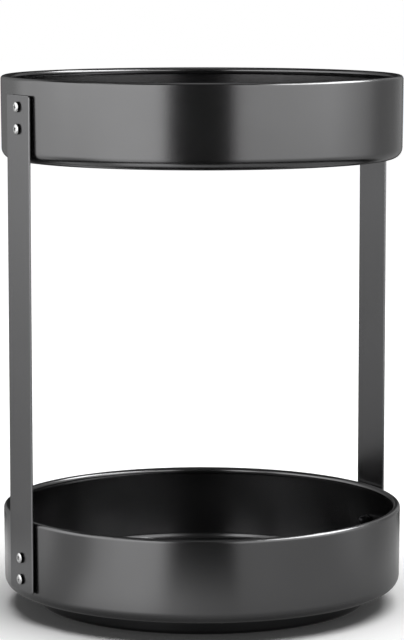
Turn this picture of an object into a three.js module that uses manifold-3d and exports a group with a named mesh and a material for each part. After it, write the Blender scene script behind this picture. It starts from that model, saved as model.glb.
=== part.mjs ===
// Two-tier lazy susan turntable: two round pressed-steel trays hang on two flat steel posts,
// and the lower tray turns on a ball bearing that sits in a low round base.
// Millimetres, +Z up. The origin is on the turning axis, on the surface that the feet stand on,
// and the posts stand on the X axis.

import * as THREE from 'three';
import { mergeVertices } from 'three/addons/utils/BufferGeometryUtils.js';
import Module from 'manifold-3d';

const wasm = await Module();
wasm.setup();

// ---------- driving dimensions ----------

const GAP = 0.3; // left between pieces that touch on the real object

// trays
const TRAY_RADIUS = 150;
const TRAY_HEIGHT = 61.5;
const TRAY_SHEET = 1.0;
const TRAY_CORNER = 8;
const WALL_DRAFT = 0.4; // how much the wall narrows from the rim to the corner
const RIM_ROLL = 5.5; // thickness of the rolled rim
const OVERALL_HEIGHT = 400;
const TIER_PITCH = 323; // from one tray's rim to the other's

// posts
const POST_WIDTH = 37;
const POST_SHEET = 1.5;
const POST_CORNER = 2;
const POST_BELOW_RIM = 12;
const POST_LENGTH = 364;
const HOLE_FROM_POST_END = 8.5;
const HOLE_SPACING = 16;

// M4 screws and cap nuts
const SHANK_RADIUS = 2;
const SHANK_TIP_NARROWING = 0.4;
const SHANK_TIP_LENGTH = 0.6;
const HOLE_RADIUS = 2.3;
const PAN_HEAD = { radius: 3.9, edge: 1.2, height: 2.4, shank: 8 };
const TRUSS_HEAD = { radius: 4.2, edge: 0.3, height: 1.4, shank: 7 };
const HEAD_FLAT_SHARE = 0.55; // of a head's radius that is flat on top
const RECESS_SPAN = 4.4;
const RECESS_SLOT = 0.9;
const NUT_SIDES = 6;
const NUT_ACROSS_FLATS = 7;
const NUT_HEX_HEIGHT = 3.2;
const NUT_HEIGHT = 8;
const NUT_BORE_DEPTH = 6;
const NUT_DOME_INSET = 0.2; // of the dome from the flats
const NUT_DOME_ROOT = 1; // how far the dome reaches down into the hexagon

// base
const BASE_RADIUS = 124;
const BASE_SHEET = 1.0;
const BASE_CORNER = 3;
const BASE_BOTTOM = 2.2;
const BASE_TOP = 14.4;
const BASE_HEM_WIDTH = 2;
const BASE_HEM_BLEND = 0.5; // height over which the hem runs out on the inside
const FOOT_COUNT = 6;
const FOOT_RADIUS = 8;
const FOOT_CHAMFER = 0.8;
const FOOT_CIRCLE = 104;

// bearing
const BALL_COUNT = 12;
const BALL_RADIUS = 2.5;
const BALL_CIRCLE = 63;
const BALL_HEIGHT = 9.3; // of the balls' centres
const GROOVE_CLEARANCE = 0.2;
const RING_FACE = 2; // from the ball circle to the face of either ring
const INNER_RING_BORE = 50;
const INNER_RING_BELOW_TRAY = 1.2;
const OUTER_RING_LIFT = 0.8; // how much higher it starts than the inner ring
const OUTER_RING_RADIUS = 76.5;
const CAGE_HALF_WIDTH = 1.5;
const CAGE_HALF_HEIGHT = 3.7;
const POCKET_CLEARANCE = 0.25;
const RING_SCREW_COUNT = 4;

const THROUGH_LENGTH = 60; // of a cutter that passes right through a floor or a ring

// how finely round shapes are faceted
const TRAY_SEGMENTS = 64;
const RING_SEGMENTS = 48;
const FOOT_SEGMENTS = 16;
const SCREW_SEGMENTS = 10;
const CORNER_STEPS = 3;
const ROLL_STEPS = 6;
const HEM_STEPS = 4;
const DOME_STEPS = 2;
const BALL_DETAIL = 1;

// ---------- worked out from them ----------

const TRAY_BOTTOM = {
  upper: OVERALL_HEIGHT - TRAY_HEIGHT,
  lower: OVERALL_HEIGHT - TIER_PITCH - TRAY_HEIGHT,
};
const POST_INNER_FACE = TRAY_RADIUS + GAP;
const POST_OUTER_FACE = POST_INNER_FACE + POST_SHEET;
const POST_TOP = OVERALL_HEIGHT - POST_BELOW_RIM;
const POST_BOTTOM = POST_TOP - POST_LENGTH;
const HOLE_HEIGHTS = [
  POST_TOP - HOLE_FROM_POST_END,
  POST_TOP - HOLE_FROM_POST_END - HOLE_SPACING,
  POST_BOTTOM + HOLE_FROM_POST_END + HOLE_SPACING,
  POST_BOTTOM + HOLE_FROM_POST_END,
];
const NUT_FACE = TRAY_RADIUS - TRAY_SHEET - WALL_DRAFT - GAP;
const INNER_RING_BOTTOM = BASE_BOTTOM + BASE_SHEET + GAP;
const INNER_RING_TOP = TRAY_BOTTOM.lower - INNER_RING_BELOW_TRAY;
const OUTER_RING_BOTTOM = INNER_RING_BOTTOM + OUTER_RING_LIFT;
const OUTER_RING_TOP = TRAY_BOTTOM.lower - GAP;
const INNER_RING_RADIUS = BALL_CIRCLE - RING_FACE;
const OUTER_RING_BORE = BALL_CIRCLE + RING_FACE;
const GROOVE_DEPTH = (BALL_RADIUS + GROOVE_CLEARANCE) * Math.SQRT2 - RING_FACE;
const BASE_SCREW_CIRCLE = (INNER_RING_BORE + INNER_RING_RADIUS - GROOVE_DEPTH) / 2;
const TRAY_SCREW_CIRCLE = (OUTER_RING_BORE + GROOVE_DEPTH + OUTER_RING_RADIUS) / 2;

// ---------- materials ----------

const trayCoat = new THREE.MeshStandardMaterial({ color: 0x58585a, roughness: 0.3, metalness: 0.85 });
const postCoat = new THREE.MeshStandardMaterial({ color: 0x565658, roughness: 0.35, metalness: 0.85 });
const baseCoat = new THREE.MeshStandardMaterial({ color: 0x1b1b1c, roughness: 0.45, metalness: 0.6 });
const screwSteel = new THREE.MeshStandardMaterial({ color: 0xc9cacc, roughness: 0.25, metalness: 1 });
const nutBlack = new THREE.MeshStandardMaterial({ color: 0x232324, roughness: 0.4, metalness: 0.7 });
const ringAluminium = new THREE.MeshStandardMaterial({ color: 0xa8abae, roughness: 0.4, metalness: 1 });
const ballSteel = new THREE.MeshStandardMaterial({ color: 0xd8dadd, roughness: 0.08, metalness: 1 });
const cagePlastic = new THREE.MeshStandardMaterial({ color: 0xe4e2dc, roughness: 0.55, metalness: 0 });
const footRubber = new THREE.MeshStandardMaterial({ color: 0x141414, roughness: 0.9, metalness: 0 });

// ---------- solids ----------

// A closed solid with shared vertices, ready to be joined or cut.
function toSolid(geometry) {
  const bare = geometry.clone();
  bare.deleteAttribute('normal');
  bare.deleteAttribute('uv');
  const merged = mergeVertices(bare);
  return new wasm.Manifold(new wasm.Mesh({
    numProp: 3,
    vertProperties: merged.getAttribute('position').array,
    triVerts: new Uint32Array(merged.getIndex().array),
  }));
}

function toGeometry(solid) {
  const { vertProperties, triVerts } = solid.getMesh();
  const geometry = new THREE.BufferGeometry();
  geometry.setAttribute('position', new THREE.BufferAttribute(new Float32Array(vertProperties), 3));
  geometry.setIndex(new THREE.BufferAttribute(new Uint32Array(triVerts), 1));
  geometry.computeVertexNormals();
  return geometry;
}

// The points of a round stretch of a profile, in (radius, height), angles in degrees.
function arc(centreRadius, centreHeight, radius, fromDegrees, toDegrees, steps) {
  return Array.from({ length: steps + 1 }, (_, step) => {
    const angle = THREE.MathUtils.degToRad(fromDegrees + ((toDegrees - fromDegrees) * step) / steps);
    return [centreRadius + radius * Math.cos(angle), centreHeight + radius * Math.sin(angle)];
  });
}

// Turns a profile about +Z. It runs up on the outside and down on the inside of the material.
function turned(profile, segments) {
  const points = profile.map(([radius, height]) => new THREE.Vector2(radius, height));
  return new THREE.LatheGeometry(points, segments).rotateX(Math.PI / 2);
}

// A rod along +Z, with its centre at the origin.
function rod(radius, length) {
  return new THREE.CylinderGeometry(radius, radius, length, SCREW_SEGMENTS).rotateX(Math.PI / 2);
}

// Rods across the X axis, one for each screw that holds a post to a tray.
function postHoleCutters(trayBottom) {
  const length = 2 * (TRAY_RADIUS + RIM_ROLL);
  return HOLE_HEIGHTS
    .filter((height) => height > trayBottom && height < trayBottom + TRAY_HEIGHT)
    .map((height) => toSolid(rod(HOLE_RADIUS, length).rotateY(Math.PI / 2)
      .translate(0, 0, height - trayBottom)));
}

// Where the screws of a bearing ring stand, halfway between the posts and the sides.
function ringScrewPositions(circle) {
  return Array.from({ length: RING_SCREW_COUNT }, (_, index) => {
    const angle = (2 * Math.PI * (index + 0.5)) / RING_SCREW_COUNT;
    return [circle * Math.cos(angle), circle * Math.sin(angle)];
  });
}

function ringScrewCutters(circle) {
  return ringScrewPositions(circle)
    .map(([x, y]) => toSolid(rod(HOLE_RADIUS, THROUGH_LENGTH).translate(x, y, 0)));
}

function cut(geometry, cutters) {
  return toGeometry(cutters.reduce((solid, cutter) => solid.subtract(cutter), toSolid(geometry)));
}

// ---------- sub-parts ----------

// A deep-drawn tray with a rounded lower corner and a rim that is rolled inwards.
function trayGeometry(trayBottom, floorCutters) {
  const foot = TRAY_RADIUS - WALL_DRAFT;
  const rollRadius = RIM_ROLL / 2;
  const rollCentre = TRAY_HEIGHT - rollRadius;
  const innerCorner = TRAY_CORNER - TRAY_SHEET;
  const profile = [
    [0, 0],
    ...arc(foot - TRAY_CORNER, TRAY_CORNER, TRAY_CORNER, -90, 0, CORNER_STEPS),
    ...arc(TRAY_RADIUS - rollRadius, rollCentre, rollRadius, 0, 270, ROLL_STEPS),
    [TRAY_RADIUS - TRAY_SHEET, TRAY_HEIGHT - RIM_ROLL],
    ...arc(foot - TRAY_CORNER, TRAY_CORNER, innerCorner, 0, -90, CORNER_STEPS),
    [0, TRAY_SHEET],
  ];
  return cut(turned(profile, TRAY_SEGMENTS), [...postHoleCutters(trayBottom), ...floorCutters]);
}

// A flat strip with rounded corners, drawn lying down, then stood up against the +X side.
function postGeometry() {
  const half = POST_WIDTH / 2;
  const outline = new THREE.Shape();
  outline.moveTo(half, POST_BOTTOM + POST_CORNER);
  outline.lineTo(half, POST_TOP - POST_CORNER);
  outline.absarc(half - POST_CORNER, POST_TOP - POST_CORNER, POST_CORNER, 0, Math.PI / 2);
  outline.lineTo(-half + POST_CORNER, POST_TOP);
  outline.absarc(-half + POST_CORNER, POST_TOP - POST_CORNER, POST_CORNER, Math.PI / 2, Math.PI);
  outline.lineTo(-half, POST_BOTTOM + POST_CORNER);
  outline.absarc(-half + POST_CORNER, POST_BOTTOM + POST_CORNER, POST_CORNER, Math.PI, 1.5 * Math.PI);
  outline.lineTo(half - POST_CORNER, POST_BOTTOM);
  outline.absarc(half - POST_CORNER, POST_BOTTOM + POST_CORNER, POST_CORNER, 1.5 * Math.PI, 2 * Math.PI);
  for (const height of HOLE_HEIGHTS) {
    outline.holes.push(new THREE.Path().absarc(0, height, HOLE_RADIUS, 0, 2 * Math.PI, true));
  }
  const strip = new THREE.ExtrudeGeometry(outline, {
    depth: POST_SHEET,
    bevelEnabled: false,
    curveSegments: CORNER_STEPS,
  });
  const standing = new THREE.Matrix4().makeBasis(
    new THREE.Vector3(0, 1, 0),
    new THREE.Vector3(0, 0, 1),
    new THREE.Vector3(1, 0, 0),
  );
  return strip.applyMatrix4(standing).translate(POST_INNER_FACE, 0, 0);
}

// A screw along +Z with its head up, and the underside of the head at the origin.
// The head has a straight edge, a rounded top and a cross recess.
function screwGeometry({ radius, edge, height, shank }) {
  const flat = HEAD_FLAT_SHARE * radius;
  const rounding = arc(0, 0, 1, 0, 90, DOME_STEPS).map(([across, up]) => [
    flat + (radius - flat) * across,
    edge + (height - edge) * up,
  ]);
  const profile = [
    [0, -shank],
    [SHANK_RADIUS - SHANK_TIP_NARROWING, -shank],
    [SHANK_RADIUS, -shank + SHANK_TIP_LENGTH],
    [SHANK_RADIUS, 0],
    [radius, 0],
    ...rounding,
    [0, height],
  ];
  const slots = [0, Math.PI / 2].map((turn) => toSolid(
    new THREE.BoxGeometry(RECESS_SPAN, RECESS_SLOT, height)
      .rotateZ(turn)
      .translate(0, 0, height),
  ));
  return cut(turned(profile, SCREW_SEGMENTS), slots);
}

// A cap nut along +Z, with its open face at the origin and its dome up.
function capNutGeometry() {
  const cornerRadius = NUT_ACROSS_FLATS / 2 / Math.cos(Math.PI / NUT_SIDES);
  const domeRadius = NUT_ACROSS_FLATS / 2 - NUT_DOME_INSET;
  const hexagon = new THREE.CylinderGeometry(cornerRadius, cornerRadius, NUT_HEX_HEIGHT, NUT_SIDES)
    .rotateX(Math.PI / 2)
    .translate(0, 0, NUT_HEX_HEIGHT / 2);
  const dome = turned([
    [0, NUT_HEX_HEIGHT - NUT_DOME_ROOT],
    [domeRadius, NUT_HEX_HEIGHT - NUT_DOME_ROOT],
    ...arc(0, NUT_HEIGHT - domeRadius, domeRadius, 0, 90, DOME_STEPS),
  ], SCREW_SEGMENTS);
  const bore = rod(HOLE_RADIUS, 2 * NUT_BORE_DEPTH);
  return toGeometry(toSolid(hexagon).add(toSolid(dome)).subtract(toSolid(bore)));
}

// A shallow round dish, open upwards, that hides the bearing.
function baseGeometry() {
  const height = BASE_TOP - BASE_BOTTOM;
  const hemRadius = BASE_HEM_WIDTH / 2;
  const profile = [
    [0, 0],
    ...arc(BASE_RADIUS - BASE_CORNER, BASE_CORNER, BASE_CORNER, -90, 0, CORNER_STEPS),
    ...arc(BASE_RADIUS - hemRadius, height - hemRadius, hemRadius, 0, 180, HEM_STEPS),
    [BASE_RADIUS - BASE_SHEET, height - BASE_HEM_WIDTH - BASE_HEM_BLEND],
    ...arc(BASE_RADIUS - BASE_CORNER, BASE_CORNER, BASE_CORNER - BASE_SHEET, 0, -90, CORNER_STEPS),
    [0, BASE_SHEET],
  ];
  return cut(turned(profile, RING_SEGMENTS), ringScrewCutters(BASE_SCREW_CIRCLE));
}

// A round rubber pad with a chamfered lower edge.
function footGeometry() {
  const height = BASE_BOTTOM - GAP;
  return turned([
    [0, 0],
    [FOOT_RADIUS - FOOT_CHAMFER, 0],
    [FOOT_RADIUS, FOOT_CHAMFER],
    [FOOT_RADIUS, height],
    [0, height],
  ], FOOT_SEGMENTS);
}

// A bearing ring from the bore to the rim, with a V groove for the balls on one side.
function ringGeometry(bore, radius, bottom, top, grooveSide, screwCircle) {
  const groove = (face, inwards, sign) => [
    [face, BALL_HEIGHT - sign * GROOVE_DEPTH],
    [face + inwards * GROOVE_DEPTH, BALL_HEIGHT],
    [face, BALL_HEIGHT + sign * GROOVE_DEPTH],
  ];
  const profile = [
    [bore, bottom],
    [radius, bottom],
    ...(grooveSide === 'outside' ? groove(radius, -1, 1) : []),
    [radius, top],
    [bore, top],
    ...(grooveSide === 'inside' ? groove(bore, 1, -1) : []),
    [bore, bottom],
  ];
  return cut(turned(profile, RING_SEGMENTS), ringScrewCutters(screwCircle));
}

// The ring that keeps the balls apart, with a round pocket for each ball.
function cageGeometry() {
  const inner = BALL_CIRCLE - CAGE_HALF_WIDTH;
  const outer = BALL_CIRCLE + CAGE_HALF_WIDTH;
  const band = turned([
    [inner, -CAGE_HALF_HEIGHT],
    [outer, -CAGE_HALF_HEIGHT],
    [outer, CAGE_HALF_HEIGHT],
    [inner, CAGE_HALF_HEIGHT],
    [inner, -CAGE_HALF_HEIGHT],
  ], RING_SEGMENTS);
  const pockets = ballAngles().map((angle) => toSolid(
    rod(BALL_RADIUS + POCKET_CLEARANCE, 4 * CAGE_HALF_WIDTH)
      .rotateY(Math.PI / 2)
      .translate(BALL_CIRCLE, 0, 0)
      .rotateZ(angle),
  ));
  return cut(band, pockets);
}

function ballAngles() {
  return Array.from({ length: BALL_COUNT }, (_, index) => (2 * Math.PI * index) / BALL_COUNT);
}

// ---------- the assembly ----------

const group = new THREE.Group();

function place(parent, name, geometry, material, x = 0, y = 0, z = 0) {
  const mesh = new THREE.Mesh(geometry, material);
  mesh.name = name;
  mesh.position.set(x, y, z);
  parent.add(mesh);
  return mesh;
}

// trays: the lower one also has holes for the bearing's screws
place(group, 'upper_tray', trayGeometry(TRAY_BOTTOM.upper, []), trayCoat, 0, 0, TRAY_BOTTOM.upper);
place(group, 'lower_tray', trayGeometry(
  TRAY_BOTTOM.lower,
  ringScrewCutters(TRAY_SCREW_CIRCLE),
), trayCoat, 0, 0, TRAY_BOTTOM.lower);

// posts, each with four screws through the tray walls into cap nuts inside the trays
for (const [side, turn] of [['right', 0], ['left', Math.PI]]) {
  const sideGroup = new THREE.Group();
  sideGroup.rotation.z = turn;
  group.add(sideGroup);
  place(sideGroup, `post_${side}`, postGeometry(), postCoat);
  HOLE_HEIGHTS.forEach((height, index) => {
    const screw = place(
      sideGroup,
      `post_screw_${side}_${index + 1}`,
      screwGeometry(PAN_HEAD),
      screwSteel,
      POST_OUTER_FACE + GAP,
      0,
      height,
    );
    screw.rotation.y = Math.PI / 2;
    const nut = place(
      sideGroup,
      `cap_nut_${side}_${index + 1}`,
      capNutGeometry(),
      nutBlack,
      NUT_FACE,
      0,
      height,
    );
    nut.rotation.y = -Math.PI / 2;
  });
}

// base and feet
place(group, 'base_dish', baseGeometry(), baseCoat, 0, 0, BASE_BOTTOM);
for (let index = 0; index < FOOT_COUNT; index += 1) {
  const angle = (2 * Math.PI * (index + 0.5)) / FOOT_COUNT;
  const x = FOOT_CIRCLE * Math.cos(angle);
  const y = FOOT_CIRCLE * Math.sin(angle);
  place(group, `foot_${index + 1}`, footGeometry(), footRubber, x, y, 0);
}

// bearing: the inner ring is screwed to the base and the outer ring to the lower tray
place(group, 'bearing_inner_ring', ringGeometry(
  INNER_RING_BORE,
  INNER_RING_RADIUS,
  INNER_RING_BOTTOM,
  INNER_RING_TOP,
  'outside',
  BASE_SCREW_CIRCLE,
), ringAluminium);
place(group, 'bearing_outer_ring', ringGeometry(
  OUTER_RING_BORE,
  OUTER_RING_RADIUS,
  OUTER_RING_BOTTOM,
  OUTER_RING_TOP,
  'inside',
  TRAY_SCREW_CIRCLE,
), ringAluminium);
place(group, 'ball_cage', cageGeometry(), cagePlastic, 0, 0, BALL_HEIGHT);
ballAngles().forEach((angle, index) => {
  const x = BALL_CIRCLE * Math.cos(angle);
  const y = BALL_CIRCLE * Math.sin(angle);
  const ball = new THREE.IcosahedronGeometry(BALL_RADIUS, BALL_DETAIL);
  place(group, `ball_${index + 1}`, ball, ballSteel, x, y, BALL_HEIGHT);
});

// bearing screws: down through the tray's floor, and up through the base's
const trussScrew = screwGeometry(TRUSS_HEAD);
ringScrewPositions(TRAY_SCREW_CIRCLE).forEach(([x, y], index) => {
  const height = TRAY_BOTTOM.lower + TRAY_SHEET + GAP;
  place(group, `tray_screw_${index + 1}`, trussScrew, screwSteel, x, y, height);
});
ringScrewPositions(BASE_SCREW_CIRCLE).forEach(([x, y], index) => {
  const height = BASE_BOTTOM - GAP;
  const screw = place(group, `base_screw_${index + 1}`, trussScrew, screwSteel, x, y, height);
  screw.rotation.x = Math.PI;
});

export default group;
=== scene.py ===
"""Looks for the two-tier lazy susan turntable, in metres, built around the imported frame."""
import math

import bmesh
import bpy
from mathutils import Matrix, Vector


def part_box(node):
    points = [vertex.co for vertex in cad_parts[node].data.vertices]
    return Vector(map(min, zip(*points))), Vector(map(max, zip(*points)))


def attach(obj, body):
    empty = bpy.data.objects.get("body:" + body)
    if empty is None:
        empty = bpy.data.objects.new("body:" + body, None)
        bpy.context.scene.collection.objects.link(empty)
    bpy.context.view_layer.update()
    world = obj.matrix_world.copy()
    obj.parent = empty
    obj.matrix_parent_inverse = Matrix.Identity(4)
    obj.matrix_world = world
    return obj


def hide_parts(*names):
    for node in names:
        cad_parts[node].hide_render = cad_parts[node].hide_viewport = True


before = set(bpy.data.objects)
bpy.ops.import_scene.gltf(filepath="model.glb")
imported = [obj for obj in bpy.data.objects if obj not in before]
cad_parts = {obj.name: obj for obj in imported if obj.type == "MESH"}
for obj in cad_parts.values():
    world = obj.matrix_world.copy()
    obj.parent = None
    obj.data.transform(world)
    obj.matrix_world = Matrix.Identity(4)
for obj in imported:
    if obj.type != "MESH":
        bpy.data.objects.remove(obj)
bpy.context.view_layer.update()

# ---------- sizes ----------

MM = 0.001


def box_of(node):
    """A CAD node's centre and size, from its box at rest."""
    low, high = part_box(node)
    return (low + high) / 2, high - low


tray_centre, tray_size = box_of("upper_tray")
lower_centre, _ = box_of("lower_tray")
post_centre, post_size = box_of("post_right")
base_centre, base_size = box_of("base_dish")

TRAY_RADIUS = tray_size.x / 2
TRAY_HEIGHT = tray_size.z
TRAY_BOTTOM = {
    "upper_tray": tray_centre.z - TRAY_HEIGHT / 2,
    "lower_tray": lower_centre.z - TRAY_HEIGHT / 2,
}
TRAY_SHEET = 1.0 * MM
TRAY_CORNER = 8 * MM
WALL_DRAFT = 0.4 * MM
RIM_ROLL = 5.5 * MM
RIM_ROLL_TURN = 285
SCREW_HOLE = 2.25 * MM

SHANK_RADIUS = 2 * MM
THREAD_PITCH = 0.7 * MM
THREAD_DEPTH = 0.35 * MM

BASE_RADIUS = base_size.x / 2
BASE_SHEET = 1.0 * MM
BASE_CORNER = 3 * MM
BASE_HEM_WIDTH = 2 * MM
BASE_HEM_BLEND = 0.5 * MM

TRAY_SEGMENTS = 240
RING_SEGMENTS = 144
SMALL_SEGMENTS = 48
SHARP_ANGLE = math.radians(38)

WHITE = (1, 1, 1, 1)
BLACK = (0, 0, 0, 1)

# ---------- camera ----------

CAMERA_AZIMUTH = math.radians(-28.82)
CAMERA_DISTANCE = 2.141
CAMERA_HEIGHT = 0.4832
CAMERA_PITCH = math.radians(7.126)
CAMERA_LENS = 161.1


def make_camera():
    """A long lens a little above the rack, so the rims show as thin ellipses."""
    data = bpy.data.cameras.new("camera")
    data.lens = CAMERA_LENS
    data.sensor_width = 36
    data.clip_start = 0.05
    camera = bpy.data.objects.new("camera", data)
    bpy.context.scene.collection.objects.link(camera)
    camera.location = (
        CAMERA_DISTANCE * math.sin(CAMERA_AZIMUTH),
        -CAMERA_DISTANCE * math.cos(CAMERA_AZIMUTH),
        CAMERA_HEIGHT,
    )
    camera.rotation_euler = (math.pi / 2 - CAMERA_PITCH, 0, CAMERA_AZIMUTH)
    bpy.context.scene.camera = camera


make_camera()

# ---------- node helpers ----------


class Nodes:
    """A short way to build a material's node tree."""

    def __init__(self, name):
        self.material = bpy.data.materials.new(name)
        self.material.use_nodes = True
        self.tree = self.material.node_tree
        self.shader = self.tree.nodes["Principled BSDF"]
        self.place = self.add("ShaderNodeTexCoord").outputs["Object"]

    def add(self, kind, inputs=None, **settings):
        node = self.tree.nodes.new(kind)
        for key, value in settings.items():
            setattr(node, key, value)
        for key, value in (inputs or {}).items():
            self.put(node.inputs[key], value)
        return node

    def put(self, socket, value):
        """Links an output to a socket, or sets the socket's own number or colour."""
        if isinstance(value, bpy.types.NodeSocket):
            self.tree.links.new(value, socket)
        else:
            socket.default_value = value

    def noise(self, scale, detail=3.0, roughness=0.55):
        """A noise of that many cells to the metre."""
        node = self.add(
            "ShaderNodeTexNoise",
            {"Vector": self.place, "Scale": scale, "Detail": detail, "Roughness": roughness},
        )
        return node.outputs["Fac"]

    def ramp(self, value, low, high, out_low, out_high):
        """Carries value from low..high to out_low..out_high, smoothly and clamped."""
        node = self.add(
            "ShaderNodeMapRange",
            {"Value": value, "From Min": low, "From Max": high,
             "To Min": out_low, "To Max": out_high},
            interpolation_type="SMOOTHSTEP",
        )
        return node.outputs["Result"]

    def math(self, operation, a, b):
        return self.add("ShaderNodeMath", {0: a, 1: b}, operation=operation).outputs[0]

    def mix(self, factor, a, b):
        """A blend of two colours by a factor."""
        node = self.add("ShaderNodeMix", data_type="RGBA")
        self.put(node.inputs[0], factor)
        self.put(node.inputs[6], a)
        self.put(node.inputs[7], b)
        return node.outputs[2]

    def attribute(self, name):
        return self.add("ShaderNodeAttribute", attribute_name=name).outputs["Fac"]

    def bump(self, *layers):
        """Stacks (height, depth in metres) layers of relief and puts them on the shader."""
        normal = None
        for height, depth in layers:
            node = self.add("ShaderNodeBump", {"Height": height, "Strength": 1.0, "Distance": depth})
            if normal:
                self.put(node.inputs["Normal"], normal)
            normal = node.outputs["Normal"]
        self.put(self.shader.inputs["Normal"], normal)

    def surface(self, **values):
        """Sets the shader's sockets, such as base_color or roughness."""
        for key, value in values.items():
            self.put(self.shader.inputs[key.replace("_", " ").title().replace("Ior", "IOR")], value)
        return self.material


# ---------- materials ----------


def coated_steel(name, dark, light, roughness, metallic):
    """Satin powder coat: fine orange peel, flake in the pigment, faint handling marks."""
    n = Nodes(name)
    cloud = n.noise(9, 4)
    flake = n.noise(2600, 2, 0.7)
    marks = n.noise(28, 5, 0.6)
    wear_and_painted_light = n.attribute("wear_and_painted_light")
    tone = n.math("ADD", n.ramp(cloud, 0.3, 0.7, 0.0, 0.5), n.ramp(flake, 0.35, 0.7, 0.0, 0.5))
    colour = n.mix(tone, dark, light)
    # Painted highlight: where the per-point attribute is high the colour goes to twice the light tone,
    # partly thinned coat on the trays' rims and partly painted highlight there and along the posts'
    # edges.
    rubbed_and_highlit = tuple(2.0 * channel for channel in light[:3]) + (1.0,)
    colour = n.mix(n.ramp(wear_and_painted_light, 0.1, 0.9, 0.0, 0.75), colour, rubbed_and_highlit)
    gloss = n.math("ADD", n.ramp(marks, 0.35, 0.75, roughness - 0.01, roughness + 0.02),
                   n.ramp(flake, 0.3, 0.7, -0.015, 0.015))
    peel = n.noise(950, 2, 0.5)
    grit = n.noise(3300, 2, 0.6)
    n.bump((peel, 0.02 * MM), (grit, 0.011 * MM))
    return n.surface(base_color=colour, metallic=metallic, roughness=gloss)


def plated_steel(name):
    """A screw: bright steel on top of its head, near-black below it as the per-point attribute says; the
    black on the head's side is painted shade.
    """
    n = Nodes(name)
    cloud = n.noise(420, 3)
    pits = n.noise(5200, 2, 0.6)
    bright = n.mix(cloud, (0.56, 0.56, 0.55, 1), (0.74, 0.74, 0.75, 1))
    # Painted shade: near-black where the per-point attribute is low (the head's side), bright steel
    # where it is high.
    colour = n.mix(n.attribute("wear_and_painted_light"), (0.012, 0.012, 0.012, 1), bright)
    n.bump((pits, 0.004 * MM))
    return n.surface(base_color=colour, metallic=1.0, roughness=n.ramp(cloud, 0.3, 0.7, 0.16, 0.32))


def black_oxide(name):
    """Blackened steel: nearly black, oily sheen, with steel showing through on the worn spots."""
    n = Nodes(name)
    cloud = n.noise(300, 4)
    scuff = n.ramp(n.noise(900, 5, 0.7), 0.62, 0.75, 0.0, 0.6)
    colour = n.mix(scuff, (0.016, 0.016, 0.017, 1), (0.12, 0.12, 0.12, 1))
    n.bump((cloud, 0.01 * MM))
    return n.surface(base_color=colour, metallic=0.8, roughness=n.ramp(cloud, 0.3, 0.7, 0.28, 0.42))


def turned_aluminium(name):
    """Machined aluminium: lathe lines round the axis, dulled by handling."""
    n = Nodes(name)
    parts = n.add("ShaderNodeSeparateXYZ", {"Vector": n.place})
    across = n.math("POWER", parts.outputs["X"], 2.0)
    along = n.math("POWER", parts.outputs["Y"], 2.0)
    radius = n.math("SQRT", n.math("ADD", across, along), 0.0)
    ring_place = n.add("ShaderNodeCombineXYZ", {"X": radius, "Y": parts.outputs["Z"]})
    lines = n.add(
        "ShaderNodeTexNoise",
        {"Vector": ring_place.outputs["Vector"], "Scale": 4200.0, "Detail": 2.0},
    ).outputs["Fac"]
    cloud = n.noise(60, 4)
    colour = n.mix(cloud, (0.42, 0.43, 0.44, 1), (0.58, 0.59, 0.6, 1))
    n.bump((lines, 0.01 * MM))
    return n.surface(base_color=colour, metallic=1.0, roughness=n.ramp(cloud, 0.3, 0.7, 0.3, 0.45))


def bearing_ball(name):
    """Polished steel with a thin film of grease in places."""
    n = Nodes(name)
    film = n.noise(500, 3)
    colour = n.mix(film, (0.7, 0.7, 0.71, 1), (0.8, 0.8, 0.82, 1))
    n.bump((film, 0.001 * MM))
    return n.surface(base_color=colour, metallic=1.0, roughness=n.ramp(film, 0.4, 0.8, 0.06, 0.25))


def nylon(name):
    """Natural nylon, slightly waxy, with a moulded grain."""
    n = Nodes(name)
    cloud = n.noise(180, 4)
    grain = n.noise(2400, 2)
    colour = n.mix(cloud, (0.62, 0.6, 0.54, 1), (0.76, 0.74, 0.68, 1))
    n.bump((grain, 0.01 * MM))
    return n.surface(base_color=colour, roughness=n.ramp(grain, 0.3, 0.7, 0.42, 0.58),
                     subsurface_weight=0.15, subsurface_scale=0.002)


def rubber(name):
    """Matte black rubber with dust in its grain."""
    n = Nodes(name)
    dust = n.noise(700, 4, 0.7)
    grain = n.noise(3200, 3)
    dusty = n.ramp(dust, 0.5, 0.8, 0.0, 1.0)
    colour = n.mix(dusty, (0.012, 0.012, 0.012, 1), (0.035, 0.034, 0.032, 1))
    n.bump((grain, 0.03 * MM))
    return n.surface(base_color=colour, roughness=n.ramp(dust, 0.3, 0.7, 0.72, 0.92))


TRAY_COAT = coated_steel("tray_coat", (0.112, 0.112, 0.113, 1), (0.128, 0.128, 0.13, 1), 0.2, 0.97)
POST_COAT = coated_steel("post_coat", (0.11, 0.11, 0.112, 1), (0.126, 0.126, 0.129, 1), 0.24, 0.96)
# Painted shade: the base dish's coat is kept far darker than the trays' to stand in for the shade under
# the lower tray.
BASE_COAT_PAINTED_SHADE = coated_steel("base_coat", (0.014, 0.014, 0.0145, 1), (0.022, 0.022, 0.023, 1), 0.3, 0.8)
SCREW_STEEL = plated_steel("screw_steel")
NUT_BLACK = black_oxide("nut_black")
RING_ALUMINIUM = turned_aluminium("ring_aluminium")
BALL_STEEL = bearing_ball("ball_steel")
CAGE_NYLON = nylon("cage_plastic")
FOOT_RUBBER = rubber("foot_rubber")

# ---------- mesh helpers ----------


def arc(centre_radius, centre_height, radius, from_degrees, to_degrees, steps):
    """The points of a round stretch of a profile, in (radius, height)."""
    points = []
    for step in range(steps + 1):
        angle = math.radians(from_degrees + (to_degrees - from_degrees) * step / steps)
        points.append((centre_radius + radius * math.cos(angle),
                       centre_height + radius * math.sin(angle)))
    return points


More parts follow.
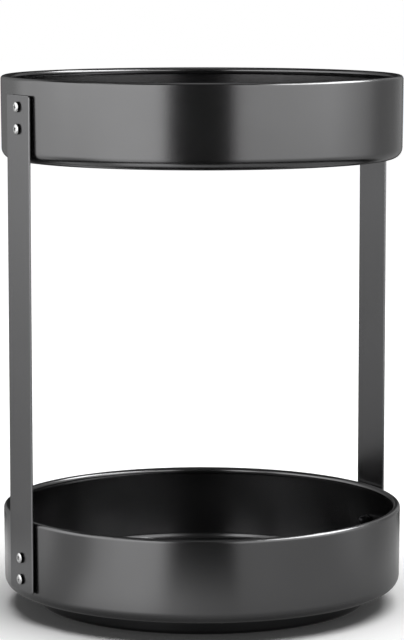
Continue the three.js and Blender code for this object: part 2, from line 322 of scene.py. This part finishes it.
def lathe(profile, segments, reach=None):
    """Turns a profile about Z. It runs up on the outside and down on the inside.

    It starts and ends on the axis, or its last point joins its first. reach(radius, angle, height)
    changes a point's radius, which makes a nut's flats or a screw's thread."""
    mesh = bmesh.new()
    rings = []
    for radius, height in profile:
        if radius < 1e-9:
            rings.append([mesh.verts.new((0, 0, height))])
            continue
        ring = []
        for index in range(segments):
            angle = 2 * math.pi * index / segments
            out = reach(radius, angle, height) if reach else radius
            ring.append(mesh.verts.new((out * math.cos(angle), out * math.sin(angle), height)))
        rings.append(ring)
    closed = len(rings[0]) > 1
    pairs = list(zip(rings, rings[1:]))
    if closed:
        pairs.append((rings[-1], rings[0]))
    for low, high in pairs:
        for index in range(segments):
            after = (index + 1) % segments
            corners = [low[index % len(low)], low[after % len(low)],
                       high[after % len(high)], high[index % len(high)]]
            corners = [c for i, c in enumerate(corners) if c not in corners[:i]]
            if len(corners) > 2:
                mesh.faces.new(corners)
    return mesh


def finish_mesh(mesh, name, wear_and_painted_light=None):
    """Makes a mesh datablock with smooth faces, sharp edges kept, and a worn-coat and painted-light
    value at each point.
    """
    bmesh.ops.remove_doubles(mesh, verts=mesh.verts, dist=1e-7)
    bmesh.ops.recalc_face_normals(mesh, faces=mesh.faces)
    for face in mesh.faces:
        face.smooth = True
    for edge in mesh.edges:
        edge.smooth = edge.is_manifold and edge.calc_face_angle() < SHARP_ANGLE
    layer = mesh.verts.layers.float.new("wear_and_painted_light")
    for vert in mesh.verts:
        vert[layer] = wear_and_painted_light(vert.co) if wear_and_painted_light else 0.0
    data = bpy.data.meshes.new(name)
    mesh.to_mesh(data)
    mesh.free()
    return data


def add_object(name, data):
    piece = bpy.data.objects.new(name, data)
    bpy.context.scene.collection.objects.link(piece)
    return piece


def cylinder_mesh(radius, length, matrix):
    """A cutter: a rod along Z, centred at the origin, then moved by matrix."""
    mesh = bmesh.new()
    bmesh.ops.create_cone(mesh, cap_ends=True, segments=SMALL_SEGMENTS, radius1=radius,
                          radius2=radius, depth=length, matrix=matrix)
    return mesh


def upright_holes(centres, length):
    """Cutters for screw holes along Z, each half above and half below the origin's height."""
    return [cylinder_mesh(SCREW_HOLE, length, Matrix.Translation((centre.x, centre.y, 0)))
            for centre in centres]


def combined(meshes):
    """Puts several separate meshes into one."""
    whole = bmesh.new()
    for mesh in meshes:
        data = bpy.data.meshes.new("loose")
        mesh.to_mesh(data)
        mesh.free()
        whole.from_mesh(data)
        bpy.data.meshes.remove(data)
    return whole


def carve(mesh, cutter):
    """Cuts one mesh out of another and gives the result back as a bmesh."""
    objects = []
    for part in (mesh, cutter):
        data = bpy.data.meshes.new("carving")
        bmesh.ops.recalc_face_normals(part, faces=part.faces)
        part.to_mesh(data)
        part.free()
        objects.append(add_object("carving", data))
    target, tool = objects
    modifier = target.modifiers.new("carve", "BOOLEAN")
    modifier.operation = "DIFFERENCE"
    modifier.solver = "EXACT"
    modifier.object = tool
    graph = bpy.context.evaluated_depsgraph_get()
    result = bmesh.new()
    result.from_mesh(target.evaluated_get(graph).to_mesh())
    for piece in objects:
        data = piece.data
        bpy.data.objects.remove(piece)
        bpy.data.meshes.remove(data)
    return result


def place(name, data, material, body, nodes, matrix=None):
    """Puts a piece in the scene on its body, in place of the CAD nodes that it stands for."""
    if not data.materials:
        data.materials.append(material)
    piece = add_object(name, data)
    if matrix:
        piece.matrix_world = matrix
    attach(piece, body)
    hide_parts(*nodes)
    return piece


def held(profile, inset=0.4 * MM):
    """Adds points near the ends of long straight stretches, so that smooth shading stays flat there."""
    points = [profile[0]]
    for (r0, z0), (r1, z1) in zip(profile, profile[1:]):
        length = math.hypot(r1 - r0, z1 - z0)
        if length > 4 * inset:
            share = inset / length
            for t in (share, 1 - share):
                points.append((r0 + (r1 - r0) * t, z0 + (z1 - z0) * t))
        points.append((r1, z1))
    return points


def turn_onto_x(side):
    """A rotation that takes +Z to the outward side of a post: +X on the right, -X on the left."""
    return Matrix.Rotation(side * math.pi / 2, 4, "Y")


SIDES = {"right": 1, "left": -1}
SCREWS_A_SIDE = 4
SCREWS_A_RING = 4
THROUGH_SHEET = 6 * MM
THROUGH_TRAY = 2.2 * TRAY_RADIUS
THROUGH_RING = 40 * MM


def cad_centres(stem, count):
    """The centres of a set of numbered CAD nodes."""
    return [box_of(f"{stem}_{index}")[0] for index in range(1, count + 1)]


post_hole_heights = [centre.z for centre in cad_centres("post_screw_right", SCREWS_A_SIDE)]

# ---------- trays ----------


def tray_profile():
    """A drawn tray: rounded lower corner, slightly tapered wall, and a rim rolled inwards and down."""
    foot = TRAY_RADIUS - WALL_DRAFT
    corner = foot - TRAY_CORNER
    roll = RIM_ROLL / 2
    roll_centre = TRAY_RADIUS - roll
    roll_height = TRAY_HEIGHT - roll
    edge_angle = math.radians(RIM_ROLL_TURN)
    edge = TRAY_SHEET / 2
    edge_centre = roll_centre + (roll - edge) * math.cos(edge_angle)
    edge_height = roll_height + (roll - edge) * math.sin(edge_angle)
    return held([
        (0, 0),
        *arc(corner, TRAY_CORNER, TRAY_CORNER, -90, 0, steps=14),
        *arc(roll_centre, roll_height, roll, 0, RIM_ROLL_TURN, steps=26),
        *arc(edge_centre, edge_height, edge, RIM_ROLL_TURN, RIM_ROLL_TURN + 180, steps=8),
        *arc(roll_centre, roll_height, roll - TRAY_SHEET, RIM_ROLL_TURN, 0, steps=18),
        *arc(corner, TRAY_CORNER, TRAY_CORNER - TRAY_SHEET, 0, -90, steps=12),
        (0, TRAY_SHEET),
    ])


def rim_wear_and_highlight(point):
    """The coat thins a little along the top of the rim, where jars pass over it; the brightening there
    is also a painted highlight.
    """
    from_top = (TRAY_HEIGHT - point.z) / (RIM_ROLL / 4)
    return max(0.0, 1.0 - from_top)


def make_tray(node, floor_holes):
    cutters = [
        cylinder_mesh(SCREW_HOLE, THROUGH_TRAY,
                      Matrix.Translation((0, 0, height - TRAY_BOTTOM[node])) @ turn_onto_x(1))
        for height in post_hole_heights
        if 0 < height - TRAY_BOTTOM[node] < TRAY_HEIGHT
    ]
    cutters += upright_holes(floor_holes, THROUGH_SHEET)
    body = carve(lathe(tray_profile(), TRAY_SEGMENTS), combined(cutters))
    place(node + "_pressing", finish_mesh(body, node, rim_wear_and_highlight), TRAY_COAT, "tower",
          [node], Matrix.Translation((0, 0, TRAY_BOTTOM[node])))


tray_screw_centres = cad_centres("tray_screw", SCREWS_A_RING)
base_screw_centres = cad_centres("base_screw", SCREWS_A_RING)
make_tray("upper_tray", [])
make_tray("lower_tray", tray_screw_centres)

# ---------- posts ----------

POST_CORNER = 2 * MM
POST_EDGE = 0.6 * MM
COPLANAR = math.radians(0.1)
FACE_ON = 0.99  # a face whose normal is this close to Z belongs to a strip's flat side


def closed_spline(curve, points):
    spline = curve.splines.new("POLY")
    spline.points.add(len(points) - 1)
    for point, (x, y) in zip(spline.points, points):
        point.co = (x, y, 0, 1)
    spline.use_cyclic_u = True


def strip_mesh(name, width, length, thickness, hole_offsets):
    """A flat strip with rounded corners, softened edges and screw holes, drawn flat, Y along it."""
    curve = bpy.data.curves.new(name, "CURVE")
    curve.dimensions = "2D"
    curve.fill_mode = "BOTH"
    curve.extrude = thickness / 2 - POST_EDGE
    curve.bevel_depth = POST_EDGE
    curve.bevel_resolution = 3
    curve.offset = -POST_EDGE
    x = width / 2 - POST_CORNER
    y = length / 2 - POST_CORNER
    outline = []
    for centre_x, centre_y, start in ((x, y, 0), (-x, y, 90), (-x, -y, 180), (x, -y, 270)):
        outline += arc(centre_x, centre_y, POST_CORNER, start, start + 90, steps=8)
    closed_spline(curve, outline)
    steps = SMALL_SEGMENTS - 1
    for offset in hole_offsets:
        closed_spline(curve, arc(0, offset, SCREW_HOLE, 0, 360 * steps / SMALL_SEGMENTS, steps))
    drawn = add_object(name, curve)
    graph = bpy.context.evaluated_depsgraph_get()
    mesh = bmesh.new()
    mesh.from_mesh(drawn.evaluated_get(graph).to_mesh())
    bpy.data.objects.remove(drawn)
    bpy.data.curves.remove(curve)
    bmesh.ops.remove_doubles(mesh, verts=mesh.verts, dist=1e-6)
    bmesh.ops.dissolve_limit(mesh, angle_limit=COPLANAR, verts=mesh.verts, edges=mesh.edges)

    def rubbed_and_highlit(point):
        """Painted highlight: the coat is brightened along the strip's edges."""
        edge = min(width / 2 - abs(point.x), length / 2 - abs(point.y))
        return min(1.0, 2.0 * max(0.0, 1.0 - edge / POST_EDGE))

    data = finish_mesh(mesh, name, rubbed_and_highlit)
    for face in data.polygons:
        face.use_smooth = abs(face.normal.z) < FACE_ON
    return data


def make_post(side, sign):
    node = f"post_{side}"
    offsets = [height - post_centre.z for height in post_hole_heights]
    data = strip_mesh(node, post_size.y, post_size.z, post_size.x, offsets)
    standing = Matrix(((0, 0, sign, sign * post_centre.x), (sign, 0, 0, 0),
                       (0, 1, 0, post_centre.z), (0, 0, 0, 1)))
    place(node + "_strip", data, POST_COAT, "tower", [node], standing)


for side, sign in SIDES.items():
    make_post(side, sign)

# ---------- screws and nuts ----------

RINGS_A_TURN = 8  # of the thread
SHANK_TIP = 0.6 * MM
TIP_CHAMFER = 0.7 * MM
HEAD_FULLNESS = 0.62  # the lower it is, the squarer the head looks from the side
HEAD_STEPS = 14
HEAD_EDGE = 0.2 * MM
RECESS_SHARE = 0.62  # how much of the head's height the cross goes down
RECESS_SPAN = 4.4 * MM
RECESS_WIDTH = 1.15 * MM


def threaded(radius, angle, height):
    """Cuts a triangular thread into anything as thick as the shank."""
    if abs(radius - SHANK_RADIUS) > 1e-6:
        return radius
    phase = (height / THREAD_PITCH - angle / (2 * math.pi)) % 1.0
    return radius - THREAD_DEPTH * (1 - abs(2 * phase - 1))


def cross_cutter(top, depth, span, width):
    """A tapered cross for a cross-recess screw, from above the head down to its floor."""
    mesh = bmesh.new()
    above = (top + depth, 1.25 * span, 1.1 * width)
    below = (top - depth, 0.4 * span, 0.8 * width)
    loops = []
    for height, reach, thick in (above, below):
        half, arm = thick / 2, reach / 2
        quarter = [(arm, -half), (arm, half), (half, half)]
        loop = []
        for turn in range(4):
            rotation = Matrix.Rotation(turn * math.pi / 2, 2)
            for corner in quarter:
                x, y = rotation @ Vector(corner)
                loop.append(mesh.verts.new((x, y, height)))
        loops.append(loop)
    upper, lower = loops
    mesh.faces.new(upper)
    mesh.faces.new(list(reversed(lower)))
    count = len(upper)
    for index in range(count):
        after = (index + 1) % count
        mesh.faces.new((upper[index], lower[index], lower[after], upper[after]))
    return mesh


def screw_mesh(name, head_radius, head_height, edge_height, shank_length):
    """A cross-recess screw along +Z, with the underside of its head at the origin."""
    dome_height = head_height - edge_height
    angles = [math.radians(90 * step / HEAD_STEPS) for step in range(HEAD_STEPS)]
    dome = [(head_radius * math.cos(angle) ** HEAD_FULLNESS, edge_height + dome_height * math.sin(angle))
            for angle in angles]
    rings = int(shank_length / THREAD_PITCH * RINGS_A_TURN)
    threaded_length = shank_length - SHANK_TIP
    shank = [(SHANK_RADIUS, -threaded_length + threaded_length * step / rings)
             for step in range(rings)]
    profile = [
        (0, -shank_length),
        (SHANK_RADIUS - TIP_CHAMFER, -shank_length),
        *shank,
        (SHANK_RADIUS - 0.05 * MM, 0),
        (head_radius - 0.25 * MM, 0),
        (head_radius, HEAD_EDGE),
        *dome,
        (0, head_height),
    ]
    recess = cross_cutter(head_height, RECESS_SHARE * head_height, RECESS_SPAN, RECESS_WIDTH)

    def lit_top_shaded_side(point):
        """Painted shade: the head is near-black up to its dome, turning to bright steel a third of the
        way up the dome.
        """
        return min(1.0, max(0.0, 3 * (point.z - edge_height) / dome_height))

    return finish_mesh(carve(lathe(profile, SMALL_SEGMENTS, threaded), recess), name, lit_top_shaded_side)


NUT_APOTHEM = 3.5 * MM
NUT_HEX_HEIGHT = 3.1 * MM
NUT_CHAMFER = 0.3 * MM
NUT_HOLE_RADIUS = 1.6 * MM
NUT_HOLE_DEPTH = 5.9 * MM
NUT_DOME_RADIUS = 3.3 * MM
NUT_DOME_CENTRE = 4.7 * MM
NUT_GAP_CLOSED = 0.2 * MM  # how much nearer the tray's wall a nut stands here than in the CAD


def hexagonal(radius, angle, _height):
    """Keeps a turned shape inside a hexagon."""
    from_flat = (angle + math.pi / 6) % (math.pi / 3) - math.pi / 6
    return min(radius, NUT_APOTHEM / math.cos(from_flat))


def cap_nut_mesh(name):
    """A chamfered hexagon with a dome over a blind hole, open face at the origin, dome up."""
    corner = NUT_APOTHEM / math.cos(math.pi / 6)
    profile = [
        (0, NUT_HOLE_DEPTH),
        (NUT_HOLE_RADIUS, NUT_HOLE_DEPTH - 0.4 * MM),
        (NUT_HOLE_RADIUS + 0.1 * MM, 0.4 * MM),
        (NUT_HOLE_RADIUS + 0.5 * MM, 0),
        (NUT_APOTHEM - NUT_CHAMFER, 0),
        (corner - 0.35 * MM, 0.12 * MM),
        (corner, 0.5 * MM),
        (corner, NUT_HEX_HEIGHT - NUT_CHAMFER),
        (corner - NUT_CHAMFER, NUT_HEX_HEIGHT),
        (NUT_DOME_RADIUS + 0.15 * MM, NUT_HEX_HEIGHT + 0.25 * MM),
        (NUT_DOME_RADIUS, NUT_HEX_HEIGHT + 0.5 * MM),
        *arc(0, NUT_DOME_CENTRE, NUT_DOME_RADIUS, 0, 90, steps=12)[:-1],
        (0, NUT_DOME_CENTRE + NUT_DOME_RADIUS),
    ]
    return finish_mesh(lathe(profile, SMALL_SEGMENTS, hexagonal), name)


pan_screw = screw_mesh("pan_screw", head_radius=3.9 * MM, head_height=2.5 * MM,
                       edge_height=1.25 * MM, shank_length=8 * MM)
truss_screw = screw_mesh("truss_screw", head_radius=4.2 * MM, head_height=1.4 * MM,
                         edge_height=0.25 * MM, shank_length=7 * MM)
cap_nut = cap_nut_mesh("cap_nut")

SCREW_TURNS = (0.35, 1.1, 0.7, 0.12, 1.35, 0.55, 0.9, 0.2)  # how far each cross ended up turned


def make_post_fasteners(side, sign):
    outer_face = post_centre.x + post_size.x / 2
    for index, height in enumerate(post_hole_heights):
        first = SCREWS_A_SIDE if side == "left" else 0
        turn = Matrix.Rotation(SCREW_TURNS[first + index], 4, "Z")
        facing_out = turn_onto_x(sign)
        at_face = Matrix.Translation((sign * outer_face, 0, height))
        place(f"pan_screw_{side}_{index + 1}", pan_screw, SCREW_STEEL, "tower",
              [f"post_screw_{side}_{index + 1}"], at_face @ facing_out @ turn)
        nut_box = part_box(f"cap_nut_{side}_{index + 1}")
        open_face = max(abs(nut_box[0].x), abs(nut_box[1].x)) + NUT_GAP_CLOSED
        at_wall = Matrix.Translation((sign * open_face, 0, height))
        place(f"domed_nut_{side}_{index + 1}", cap_nut, NUT_BLACK, "tower",
              [f"cap_nut_{side}_{index + 1}"], at_wall @ turn_onto_x(-sign) @ turn)


for side, sign in SIDES.items():
    make_post_fasteners(side, sign)

for index, centre in enumerate(tray_screw_centres):
    turn = Matrix.Rotation(SCREW_TURNS[index], 4, "Z")
    at_floor = Matrix.Translation((centre.x, centre.y, TRAY_BOTTOM["lower_tray"] + TRAY_SHEET))
    place(f"floor_screw_{index + 1}", truss_screw, SCREW_STEEL, "tower",
          [f"tray_screw_{index + 1}"], at_floor @ turn)
for index, centre in enumerate(base_screw_centres):
    turn = Matrix.Rotation(SCREW_TURNS[SCREWS_A_RING + index], 4, "Z")
    upside_down = Matrix.Rotation(math.pi, 4, "X")
    below = Matrix.Translation((centre.x, centre.y, base_centre.z - base_size.z / 2))
    place(f"under_screw_{index + 1}", truss_screw, SCREW_STEEL, "base",
          [f"base_screw_{index + 1}"], below @ upside_down @ turn)

# ---------- base and feet ----------


def make_base():
    """A shallow dish with a rolled top edge, open upwards."""
    height = base_size.z
    corner = BASE_RADIUS - BASE_CORNER
    fold = BASE_HEM_WIDTH / 2
    profile = held([
        (0, 0),
        *arc(corner, BASE_CORNER, BASE_CORNER, -90, 0, steps=10),
        *arc(BASE_RADIUS - fold, height - fold, fold, 0, 180, steps=10),
        (BASE_RADIUS - BASE_SHEET, height - BASE_HEM_WIDTH - BASE_HEM_BLEND),
        *arc(corner, BASE_CORNER, BASE_CORNER - BASE_SHEET, 0, -90, steps=8),
        (0, BASE_SHEET),
    ])
    cutters = upright_holes(base_screw_centres, THROUGH_SHEET)
    body = carve(lathe(profile, TRAY_SEGMENTS), combined(cutters))
    bottom = base_centre.z - height / 2
    place("base_pressing", finish_mesh(body, "base_dish"), BASE_COAT_PAINTED_SHADE, "base",
          ["base_dish"], Matrix.Translation((0, 0, bottom)))


make_base()

FOOT_COUNT = 6
FOOT_EDGE = 0.8 * MM
FOOT_TOP = 0.3 * MM  # closes the gap that the CAD leaves under the base
SOLE_HOLLOW = 0.25 * MM
FOOT_INSET = 0.15 * MM


def foot_mesh():
    """A rubber pad with a soft lower edge and a shallow round hollow in its sole."""
    _, size = box_of("foot_1")
    radius, height = size.x / 2, size.z
    profile = [
        (0, SOLE_HOLLOW),
        (0.45 * radius, SOLE_HOLLOW),
        (0.5 * radius, 0),
        (radius - FOOT_EDGE, 0),
        *arc(radius - FOOT_EDGE, FOOT_EDGE, FOOT_EDGE, -90, 0, steps=6)[1:],
        *arc(radius - FOOT_TOP, height, FOOT_TOP, 0, 90, steps=3),
        (0, height + FOOT_TOP),
    ]
    return finish_mesh(lathe(held(profile, FOOT_INSET), SMALL_SEGMENTS), "foot")


foot = foot_mesh()
for index, centre in enumerate(cad_centres("foot", FOOT_COUNT)):
    place(f"rubber_foot_{index + 1}", foot, FOOT_RUBBER, "base",
          [f"foot_{index + 1}"], Matrix.Translation((centre.x, centre.y, 0)))

# ---------- bearing ----------

BALL_COUNT = 12
ball_centre, _ = box_of("ball_1")
cage_centre, cage_size = box_of("ball_cage")
BALL_CIRCLE = math.hypot(ball_centre.x, ball_centre.y)
BALL_RADIUS = 2.5 * MM
TRACK_RADIUS = BALL_RADIUS + 0.2 * MM
POCKET_RADIUS = BALL_RADIUS + 0.25 * MM
POCKET_LENGTH = 12 * MM
INNER_RING_BORE = 50 * MM
RING_EDGE = 0.5 * MM
CAGE_EDGE = 0.3 * MM
BEARING_INSET = 0.2 * MM


def make_ring(node, bore, radius, groove_outside, screw_centres, body):
    """A bearing ring with chamfered edges and a groove that follows the balls."""
    centre, size = box_of(node)
    low, high = centre.z - size.z / 2, centre.z + size.z / 2
    face = radius if groove_outside else bore
    half_angle = math.degrees(math.acos(abs(BALL_CIRCLE - face) / TRACK_RADIUS))
    middle = 180 if groove_outside else 0
    groove = arc(BALL_CIRCLE, ball_centre.z, TRACK_RADIUS,
                 middle + half_angle, middle - half_angle, steps=12)
    profile = held([
        (bore + RING_EDGE, low),
        (radius - RING_EDGE, low),
        (radius, low + RING_EDGE),
        *(groove if groove_outside else []),
        (radius, high - RING_EDGE),
        (radius - RING_EDGE, high),
        (bore + RING_EDGE, high),
        (bore, high - RING_EDGE),
        *([] if groove_outside else groove),
        (bore, low + RING_EDGE),
    ], BEARING_INSET)
    cutters = upright_holes(screw_centres, THROUGH_RING)
    solid = carve(lathe(profile, RING_SEGMENTS), combined(cutters))
    place(node + "_turned", finish_mesh(solid, node), RING_ALUMINIUM, body, [node])


_, inner_size = box_of("bearing_inner_ring")
_, outer_size = box_of("bearing_outer_ring")
ring_gap = 2 * (BALL_CIRCLE - inner_size.x / 2)
make_ring("bearing_inner_ring", INNER_RING_BORE, inner_size.x / 2, True, base_screw_centres, "base")
make_ring("bearing_outer_ring", inner_size.x / 2 + ring_gap, outer_size.x / 2, False,
          tray_screw_centres, "tower")


def make_cage():
    """A flat-sided band with a round pocket through it for each ball."""
    outer = cage_size.x / 2
    inner = 2 * BALL_CIRCLE - outer
    half = cage_size.z / 2
    profile = held([
        (inner + CAGE_EDGE, -half),
        (outer - CAGE_EDGE, -half),
        (outer, -half + CAGE_EDGE),
        (outer, half - CAGE_EDGE),
        (outer - CAGE_EDGE, half),
        (inner + CAGE_EDGE, half),
        (inner, half - CAGE_EDGE),
        (inner, -half + CAGE_EDGE),
    ], BEARING_INSET)
    pockets = [
        cylinder_mesh(POCKET_RADIUS, POCKET_LENGTH,
                      Matrix.Rotation(2 * math.pi * index / BALL_COUNT, 4, "Z")
                      @ Matrix.Translation((BALL_CIRCLE, 0, 0)) @ turn_onto_x(1))
        for index in range(BALL_COUNT)
    ]
    solid = carve(lathe(profile, RING_SEGMENTS), combined(pockets))
    place("cage_band", finish_mesh(solid, "ball_cage"), CAGE_NYLON, "cage",
          ["ball_cage"], Matrix.Translation((0, 0, cage_centre.z)))


make_cage()


def ball_mesh():
    mesh = bmesh.new()
    bmesh.ops.create_icosphere(mesh, subdivisions=4, radius=BALL_RADIUS)
    return finish_mesh(mesh, "ball")


ball = ball_mesh()
for index, centre in enumerate(cad_centres("ball", BALL_COUNT)):
    place(f"steel_ball_{index + 1}", ball, BALL_STEEL, "cage",
          [f"ball_{index + 1}"], Matrix.Translation(centre))

# ---------- studio ----------


def between(stops, value):
    """Reads a list of (position, level) stops, straight between them and flat beyond the ends."""
    if value <= stops[0][0]:
        return stops[0][1]
    for (before, low), (after, high) in zip(stops, stops[1:]):
        if value <= after:
            return low + (high - low) * (value - before) / (after - before)
    return stops[-1][1]


def stage_object(name, mesh, material, glow):
    """Adds a piece of the studio. glow(point) is how strongly it shines at each point."""
    layer = mesh.verts.layers.float.new("glow")
    for vert in mesh.verts:
        vert[layer] = glow(vert.co)
    data = bpy.data.meshes.new(name)
    mesh.to_mesh(data)
    mesh.free()
    data.materials.append(material)
    piece = add_object(name, data)
    return piece


def only_mirrored(piece):
    """Keeps a piece of the studio out of everything but reflections."""
    piece.visible_camera = False
    piece.visible_diffuse = False
    piece.visible_shadow = False


def glowing(name):
    """A surface that only shines, as strongly as its glow attribute says."""
    n = Nodes(name)
    return n.surface(base_color=BLACK, roughness=1.0, specular_ior_level=0.0,
                     emission_color=WHITE, emission_strength=n.attribute("glow"))


def bearing_of(point):
    """Degrees round from the camera's side of the rack, positive to its right."""
    degrees = math.degrees(math.atan2(point.y, point.x) - CAMERA_AZIMUTH) + 90
    return (degrees + 180) % 360 - 180


def ring_glow(point):
    """Broad bright panels on the left and right, dark in front and behind, dimmer lower down."""
    bearing = bearing_of(point)
    low = between(LOW_LIGHT, bearing)
    high = between(HIGH_LIGHT, bearing)
    return low + (high - low) * between(LIGHT_RISE, point.z)


def make_light_ring():
    """An upright band round the rack that its metal mirrors."""
    mesh = bmesh.new()
    grid = []
    for column in range(LIGHT_COLUMNS):
        angle = 2 * math.pi * column / LIGHT_COLUMNS
        x, y = LIGHT_RADIUS * math.cos(angle), LIGHT_RADIUS * math.sin(angle)
        grid.append([mesh.verts.new((x, y, LIGHT_LOW + (LIGHT_HIGH - LIGHT_LOW) * row / LIGHT_ROWS))
                     for row in range(LIGHT_ROWS + 1)])
    for column in range(LIGHT_COLUMNS):
        here, after = grid[column], grid[(column + 1) % LIGHT_COLUMNS]
        for row in range(LIGHT_ROWS):
            mesh.faces.new((here[row], here[row + 1], after[row + 1], after[row]))
    only_mirrored(stage_object("light_ring", mesh, glowing("light_ring"), ring_glow))


def disc_mesh(radii):
    """A flat disc made of rings at those radii, so that a glow can change across it."""
    return lathe([(0, 0), *((radius, 0) for radius in radii)], DISC_SEGMENTS)


def worktop_glow(point):
    """What the rack's lower parts mirror: a lit worktop, in shadow close to the base.

    Further out it takes on the glow of the light ring behind it."""
    distance = point.to_2d().length
    bearing = bearing_of(point)
    near = between(WORKTOP_SIDES, bearing)
    far = between(LOW_LIGHT, bearing * MIRROR_SPREAD)
    lit = between(WORKTOP_LIT, distance)
    faded = between(WORKTOP_FADED, distance)
    shaded = between(WORKTOP_SHADE, distance)
    return shaded * (1 - lit) + lit * (near + (far - near) * faded)


def make_worktop_reflection():
    """A disc on the floor with the worktop's glow."""
    mesh = disc_mesh([WORKTOP_START + WORKTOP_STEP * step for step in range(WORKTOP_RINGS)])
    worktop = stage_object("worktop_reflection", mesh, glowing("worktop_reflection"), worktop_glow)
    worktop.location.z = WORKTOP_LIFT
    only_mirrored(worktop)


def make_ceiling_reflection():
    """A dim patch overhead, which gives the trays' floors a sheen from above."""
    mesh = disc_mesh([CEILING_STEP * (step + 1) for step in range(CEILING_RINGS)])
    ceiling = stage_object("ceiling_reflection", mesh, glowing("ceiling_reflection"),
                           lambda point: between(CEILING_GLOW, point.to_2d().length))
    ceiling.location.z = LIGHT_HIGH
    only_mirrored(ceiling)


def make_floor():
    """A pale floor that turns to plain white away from the rack."""
    n = Nodes("floor")
    material = n.surface(base_color=(0.86, 0.86, 0.86, 1), roughness=0.7,
                         emission_color=WHITE, emission_strength=n.attribute("glow"))
    mesh = disc_mesh(FLOOR_RADII)
    floor = stage_object("floor", mesh, material,
                         lambda point: between(FLOOR_GLOW, point.to_2d().length))
    floor.visible_glossy = False


def make_backdrop():
    """A white globe round everything, that only the camera sees."""
    mesh = bmesh.new()
    bmesh.ops.create_icosphere(mesh, subdivisions=4, radius=BACKDROP_RADIUS)
    backdrop = stage_object("backdrop", mesh, glowing("backdrop"), lambda point: 1.0)
    backdrop.visible_diffuse = False
    backdrop.visible_glossy = False
    backdrop.visible_shadow = False


def make_softbox(name, bearing, elevation, distance, size, power, mirrored):
    """A soft oval light, seen from the rack at that bearing and elevation in degrees.

    A mirrored one only shows in glossy surfaces, and any other only lights matte ones."""
    data = bpy.data.lights.new(name, "AREA")
    data.shape = "ELLIPSE"
    data.size, data.size_y = size
    data.energy = power
    light = bpy.data.objects.new(name, data)
    angle = CAMERA_AZIMUTH - math.pi / 2 + math.radians(bearing)
    flat = distance * math.cos(math.radians(elevation))
    light.location = (flat * math.cos(angle), flat * math.sin(angle),
                      distance * math.sin(math.radians(elevation)))
    light.rotation_euler = (-light.location).to_track_quat("-Z", "Y").to_euler()
    light.visible_camera = False
    light.visible_glossy = mirrored
    light.visible_diffuse = not mirrored
    bpy.context.scene.collection.objects.link(light)


def make_world(colour, strength):
    world = bpy.data.worlds.new("studio")
    world.use_nodes = True
    background = world.node_tree.nodes["Background"]
    background.inputs["Color"].default_value = colour
    background.inputs["Strength"].default_value = strength
    bpy.context.scene.world = world


DISC_SEGMENTS = 96
BACKDROP_RADIUS = 12.0
FLOOR_RADII = (0.16, 0.2, 0.25, 0.3, 0.45, 0.6, 0.9, 1.3, 1.8, 2.5, 4.0, BACKDROP_RADIUS)
FLOOR_GLOW = ((0.15, 0.0), (0.25, 0.25), (0.6, 0.4), (2.0, 1.0))
CEILING_STEP, CEILING_RINGS = 0.1, 10
CEILING_GLOW = ((0.0, 0.55), (0.2, 0.4), (0.45, 0.12), (1.0, 0.05))
LIGHT_RADIUS = 1.5
LIGHT_LOW, LIGHT_HIGH = -0.45, 1.5
LIGHT_COLUMNS, LIGHT_ROWS = 240, 10
# The ring's glow high up and low down, as (bearing in degrees, level) stops.
HIGH_LIGHT = ((-180, 0.02), (-165, 0.03), (-158, 0.25), (-150, 0.28), (-128, 0.62), (-116, 1.45),
              (-105, 1.6), (-80, 2.25), (-19.2, 2.3), (-18.7, 0.04), (16.8, 0.04), (17.3, 1.65),
              (50, 1.75), (75, 1.8), (102, 0.9), (112, 0.4), (135, 0.3), (150, 0.4), (157, 0.35),
              (163, 0.03), (180, 0.02))
LOW_LIGHT = ((-180, 0.02), (-165, 0.03), (-158, 0.28), (-145, 0.35), (-128, 0.42), (-116, 0.58),
             (-104, 1.0), (-95, 1.0), (-85, 0.55), (-68, 0.55), (-58, 1.2), (-45, 1.55),
             (-19.2, 1.5), (-18.7, 0.02), (16.8, 0.02), (17.3, 0.6), (75, 0.5), (95, 0.75),
             (115, 0.45), (145, 0.4), (157, 0.35), (163, 0.03), (180, 0.02))
LIGHT_RISE = ((-0.25, 0.0), (-0.08, 0.1), (0.04, 0.24), (0.24, 0.9), (0.3, 1.0))
WORKTOP_START, WORKTOP_STEP, WORKTOP_RINGS = 0.13, 0.02, 18
WORKTOP_LIFT = 0.2 * MM
# How the worktop changes with distance from the axis, as (metres, level) stops.
WORKTOP_SHADE = ((0.14, 0.12), (0.17, 0.35))
WORKTOP_LIT = ((0.17, 0.0), (0.27, 1.0))
WORKTOP_FADED = ((0.28, 0.1), (0.42, 1.0))
WORKTOP_SIDES = ((-90, 0.8), (-62, 0.6), (-50, 1.4), (-25, 1.55), (-12, 1.1), (0, 0.75), (20, 0.6),
                 (90, 0.55))
MIRROR_SPREAD = 1.17  # a spot on the worktop seems this much further round than it is

make_light_ring()
make_worktop_reflection()
make_ceiling_reflection()
make_floor()
make_backdrop()
make_softbox("softbox_right", bearing=88, elevation=48, distance=1.8, size=(1.9, 1.5), power=66,
             mirrored=True)
make_softbox("softbox_left", bearing=-70, elevation=65, distance=1.8, size=(0.9, 0.9), power=5,
             mirrored=True)
make_softbox("softbox_above", bearing=40, elevation=80, distance=2.2, size=(2.6, 2.6), power=75,
             mirrored=False)
make_world(WHITE, strength=0.015)
bpy.context.scene.view_settings.view_transform = "Standard"
